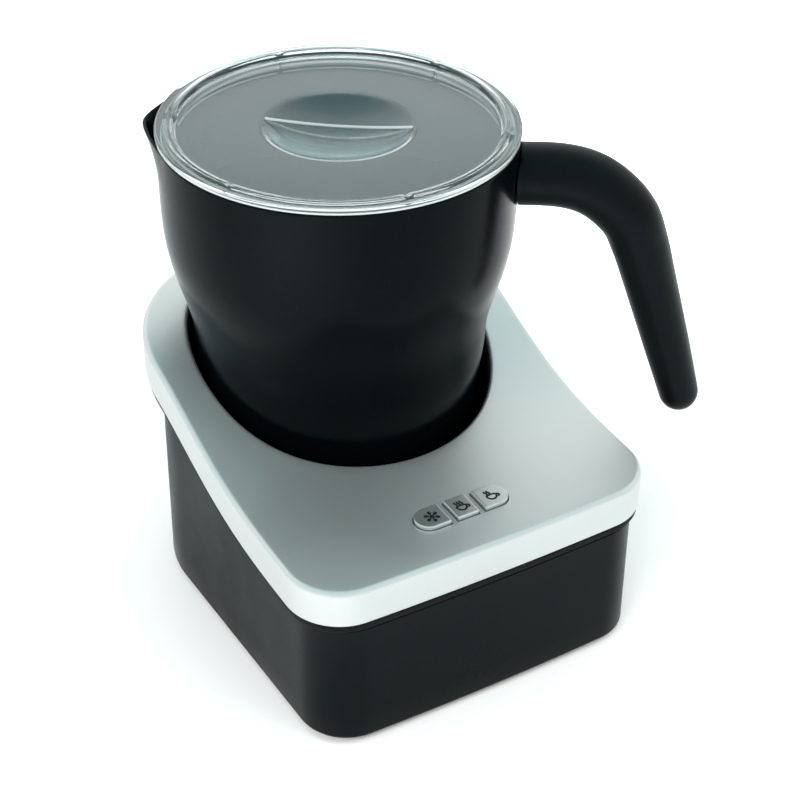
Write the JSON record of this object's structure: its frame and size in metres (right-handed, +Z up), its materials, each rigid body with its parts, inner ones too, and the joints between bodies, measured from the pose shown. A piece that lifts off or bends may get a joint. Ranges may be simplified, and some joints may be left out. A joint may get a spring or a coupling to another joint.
{
  "type": "milk frother",
  "caption": "Countertop milk frother with a lift-out jug, clear lid, magnet-driven whisk and induction-heated base with pressable keys.",
  "frame": {"origin": "middle of the overall footprint, on the worktop", "axes": "+Z up, -Y towards the side with the keys, +X to the right of someone facing the keys"},
  "size_m": [0.1648, 0.1572, 0.1648],
  "materials": {
    "silver": "satin silver, fine grain",
    "black_plastic": "satin black",
    "soft_black": "soft-touch matt black",
    "coated_black": "satin black coating over steel",
    "rubber": "matt black",
    "steel": "plain steel",
    "zinc": "zinc-plated steel",
    "copper": "enamelled copper winding",
    "ferrite": "dark sintered ferrite",
    "board": "green circuit board",
    "aluminium": "plain aluminium",
    "nylon": "natural nylon",
    "clear": "clear tinted plastic",
    "silicone": "translucent silicone"
  },
  "bodies": {
    "base": {"base_housing": "black_plastic", "top_cover": "silver", "deck_frame": "black_plastic", "well_liner": "black_plastic", "base_plate": "black_plastic", "foot_front_left": "rubber", "foot_front_right": "rubber", "foot_rear_left": "rubber", "foot_rear_right": "rubber", "base_screw_1": "zinc", "base_screw_2": "zinc", "base_screw_3": "zinc", "base_screw_4": "zinc", "cord_inlet": "rubber", "motor_can": "zinc", "motor_bracket": "nylon", "coil_inner": "copper", "coil_outer": "copper", "coil_carrier": "nylon", "ferrite_bar_1": "ferrite", "ferrite_bar_2": "ferrite", "ferrite_bar_3": "ferrite", "ferrite_bar_4": "ferrite", "sensor_spring": "steel", "control_board": "board", "switch_cold": "black_plastic", "switch_hot": "black_plastic", "switch_warm": "black_plastic", "key_frame": "black_plastic", "power_board": "board", "heat_sink": "aluminium", "filter_capacitor": "black_plastic", "line_choke": "copper"},
    "drive": {"drive_shaft": "steel", "drive_disc": "nylon", "drive_magnet_1": "steel", "drive_magnet_2": "steel"},
    "key_cold": {"key_cold": "silver"},
    "key_hot": {"key_hot": "silver"},
    "key_warm": {"key_warm": "silver"},
    "sensor": {"sensor_plunger": "steel"},
    "jug_carrier": {"jug_foot_ring": "silicone"},
    "jug": {"jug_shell": "coated_black", "jug_heat_disc": "steel", "whisk_spindle": "steel", "handle": "soft_black", "handle_bracket": "black_plastic"},
    "whisk_carrier": {"whisk_bush": "nylon"},
    "whisk": {"whisk_disc": "nylon", "whisk_magnet": "ferrite", "whisk_spring": "steel"},
    "lid_carrier": {"lid_seal": "silicone"},
    "lid": {"lid": "clear"}
  },
  "joints": [
    {"name": "jug_lift", "type": "slide", "parent": "base", "child": "jug_carrier", "axis": [0, 0, 1], "range_m": [0, 0.18]},
    {"name": "jug_turn", "type": "hinge", "parent": "jug_carrier", "child": "jug", "pos_m": [-0.01813, 0.0198, 0.0348], "axis": [0, 0, 1], "continuous": true},
    {"name": "lid_lift", "type": "slide", "parent": "jug", "child": "lid_carrier", "axis": [0, 0, 1], "range_m": [0, 0.06]},
    {"name": "lid_turn", "type": "hinge", "parent": "lid_carrier", "child": "lid", "pos_m": [-0.01813, 0.0198, 0.1595], "axis": [0, 0, 1], "continuous": true},
    {"name": "whisk_lift", "type": "slide", "parent": "jug", "child": "whisk_carrier", "axis": [0, 0, 1], "range_m": [0, 0.07]},
    {"name": "whisk_spin", "type": "hinge", "parent": "whisk_carrier", "child": "whisk", "pos_m": [-0.01813, 0.0198, 0.043], "axis": [0, 0, 1], "continuous": true},
    {"name": "drive_spin", "type": "hinge", "parent": "base", "child": "drive", "pos_m": [-0.01813, 0.0198, 0.0284], "axis": [0, 0, 1], "continuous": true},
    {"name": "key_cold_press", "type": "slide", "parent": "base", "child": "key_cold", "axis": [0, 0, -1], "range_m": [0, 0.001], "stiffness_N_per_m": 400, "springref_m": -0.0005},
    {"name": "key_hot_press", "type": "slide", "parent": "base", "child": "key_hot", "axis": [0, 0, -1], "range_m": [0, 0.001], "stiffness_N_per_m": 400, "springref_m": -0.0005},
    {"name": "key_warm_press", "type": "slide", "parent": "base", "child": "key_warm", "axis": [0, 0, -1], "range_m": [0, 0.001], "stiffness_N_per_m": 400, "springref_m": -0.0005},
    {"name": "sensor_press", "type": "slide", "parent": "base", "child": "sensor", "axis": [0, 0, -1], "range_m": [0, 0.0015], "stiffness_N_per_m": 300, "springref_m": -0.0008, "deforming": ["sensor_spring"]}
  ],
  "couplings": [
    {"joint": "whisk_spin", "follows": "drive_spin", "ratio": 1}
  ]
}
